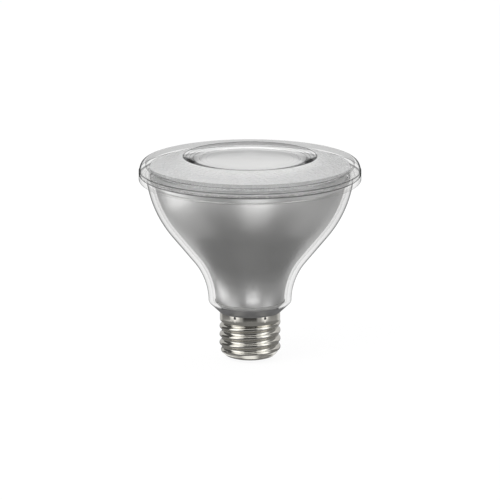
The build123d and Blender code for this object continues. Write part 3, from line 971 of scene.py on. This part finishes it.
studio = {
    "elevation": 13.4,       # camera, degrees above the horizon
    "distance": 2500.0,
    "frameWidth": 214.0,     # what the picture spans at the lamp
    "aim": 47.5,             # height that the camera looks at
    "clipEnd": 100.0,        # metres
    "fill": 0.62,            # what plain surfaces get from all round
    "skyFrom": -60.0,        # the sky that metal mirrors, from dark to light
    "skyTo": 80.0,
    "skyDark": 0.17,
    "skyLight": 0.95,
    "floor": 0.9,
    "floorWhite": 0.93,
    "floorShade": 0.1,
    "floorRadius": 6000.0,
    "floorSides": 96,
    "floorDrop": 0.02,       # below the lamp's foot, with the card's face between
    "cardDrop": 0.01,
    "cardRadius": 60.0,      # painted shadow under the lamp: a grey ring and spot that only its shine mirrors
    "cardHole": 14.5,
    "cardSpot": 10.7,
    "cardLevel": 0.2,
    "cardSteps": 64,
}

# panels laid over that sky: turn, rise, half-turn, half-rise and softness in degrees, level
panels = {
    "floorGlow": (0, -31, 200, 7, 5, 0.5),
    "leftSide": (-108, 14, 26, 36, 5, 0.08),
    "rightSide": (104, 14, 20, 36, 7, 0.2),
    "backdrop": (180, 20, 46, 42, 6, 0.55),
    "backdropLeft": (-180, 20, 44, 42, 6, 0.5),
    "leftBox": (-62, 20, 19, 38, 8, 1.35),
    "rightBox": (60, 20, 13, 38, 7, 1.35),
    "room": (0, 12, 28, 34, 6, 0.05),
    "leftFloor": (-105, -42, 36, 24, 12, 0.42),
    "rightFloor": (98, -42, 26, 22, 14, 0.45),
    "backFloor": (180, -52, 30, 28, 12, 0.95),
    "backFloorLeft": (-180, -52, 30, 28, 12, 0.95),
    "nearFloor": (8, -44, 17, 16, 10, 0.72),
    "neckGlow": (9, -29, 20, 5, 3, 3.2),
    "leftNeck": (-102, -26, 24, 5, 3, 2.0),
    "underFloor": (0, -90, 200, 16, 6, 1.0),
}

lamps = {  # in metres and watts
    "keyLamp": {"place": (-0.7, -0.7, 1.1), "size": 0.8, "power": 9.0},
    "topLamp": {"place": (0.3, 0.3, 1.4), "size": 1.0, "power": 5.4},
}
lampAim = Vector((0, 0, 0.05))


def makeWorld():
    world = bpy.data.worlds.new("studio")
    scene.world = world
    w = Finish(world)
    degree = math.degrees(1)
    x, y, z = w.split(w.add("ShaderNodeTexCoord").out("Generated"))
    turn = x.maths("ARCTAN2", x, 0 - y) * degree
    rise = z.maths("ARCSINE", z) * degree
    sky = w.add("ShaderNodeMapRange", {"interpolation_type": "SMOOTHSTEP"}, {
        "Value": rise,
        "From Min": studio["skyFrom"],
        "From Max": studio["skyTo"],
        "To Min": studio["skyDark"],
        "To Max": studio["skyLight"],
    })
    for turnAt, riseAt, halfTurn, halfRise, soft, level in panels.values():
        across = turn.maths("ABSOLUTE", turn - turnAt)
        upward = rise.maths("ABSOLUTE", rise - riseAt)
        beside = w.ramp(across, halfTurn - soft, halfTurn + soft)
        beyond = w.ramp(upward, halfRise - soft, halfRise + soft)
        sky = sky + (1 - beside) * (1 - beyond) * (level - sky)
    path = w.add("ShaderNodeLightPath")
    plain = path.maths("MAXIMUM", path.out("Is Camera Ray"), path.out("Is Transmission Ray"))
    strength = studio["fill"] + path.out("Is Glossy Ray") * (sky - studio["fill"])
    strength = strength + plain * (1 - strength)
    light = w.add("ShaderNodeBackground", None, {"Color": (1, 1, 1, 1), "Strength": strength})
    w.add("ShaderNodeOutputWorld", None, {"Surface": light})


def makeFloor():
    d = studio
    bpy.ops.object.select_all(action="DESELECT")
    bpy.ops.mesh.primitive_circle_add(
        vertices=d["floorSides"],
        radius=d["floorRadius"] * mm,
        fill_type="NGON",
        location=(0, 0, -d["floorDrop"] * mm),
    )
    floor = bpy.context.object
    floor.name = "floor"
    m = newFinish("paleFloor")
    path = m.add("ShaderNodeLightPath")
    plain = path.maths("MAXIMUM", path.out("Is Camera Ray"), path.out("Is Transmission Ray"))
    white = m.add("ShaderNodeEmission", None, {"Strength": d["floorWhite"] / (1 - d["floorShade"])})
    pale = m.mixed(plain * (1 - d["floorShade"]), m.matt(d["floor"]), white)
    floor.data.materials.append(m.shows(m.mixed(m.front(), m.seeThrough(1, 1, 1), pale)))  # clear from below
    floor.visible_glossy = False


def makeShadowCard():
    d = studio
    low, face = -d["floorDrop"], -d["cardDrop"]
    hole, edge, spot = d["cardHole"], d["cardRadius"], d["cardSpot"]
    m = newFinish("paintedShadowCard")
    paintedShadowGrey = m.shows(m.add("ShaderNodeEmission", None, {"Strength": d["cardLevel"]}))
    # a painted floor shadow, a dim grey sheet that only reflections see
    cards = [
        lathe("paintedShadowCard", [(hole, low), (edge, low), (edge, face), (hole, face)], d["cardSteps"]),
        lathe("paintedShadowSpot", [(0, low), (spot, low), (spot, face), (0, face)], d["cardSteps"]),
    ]
    for card in cards:
        card.data.materials.append(paintedShadowGrey)
        card.visible_camera = False
        card.visible_diffuse = False
        card.visible_transmission = False
        card.visible_shadow = False


def makeLamp(name, place, size, power):
    bpy.ops.object.light_add(type="AREA", location=place)
    lamp = bpy.context.object
    lamp.name = name
    lamp.data.size = size
    lamp.data.energy = power
    lamp.rotation_euler = (lampAim - Vector(place)).to_track_quat("-Z", "Y").to_euler()
    lamp.visible_glossy = False


def makeCamera():
    d = studio
    lean = math.radians(d["elevation"])
    away = d["distance"] * mm
    place = (0, -away * math.cos(lean), d["aim"] * mm + away * math.sin(lean))
    bpy.ops.object.camera_add(location=place, rotation=(math.pi / 2 - lean, 0, 0))
    camera = bpy.context.object
    camera.data.lens = camera.data.sensor_width * d["distance"] / d["frameWidth"]
    camera.data.clip_end = d["clipEnd"]
    scene.camera = camera


makeWorld()
makeFloor()
makeShadowCard()
for lampName, lampDims in lamps.items():
    makeLamp(lampName, **lampDims)
makeCamera()
scene.view_settings.view_transform = "Standard"
scene.cycles.transparent_max_bounces = 32  # the clear walls lie many deep
print("studio ready")
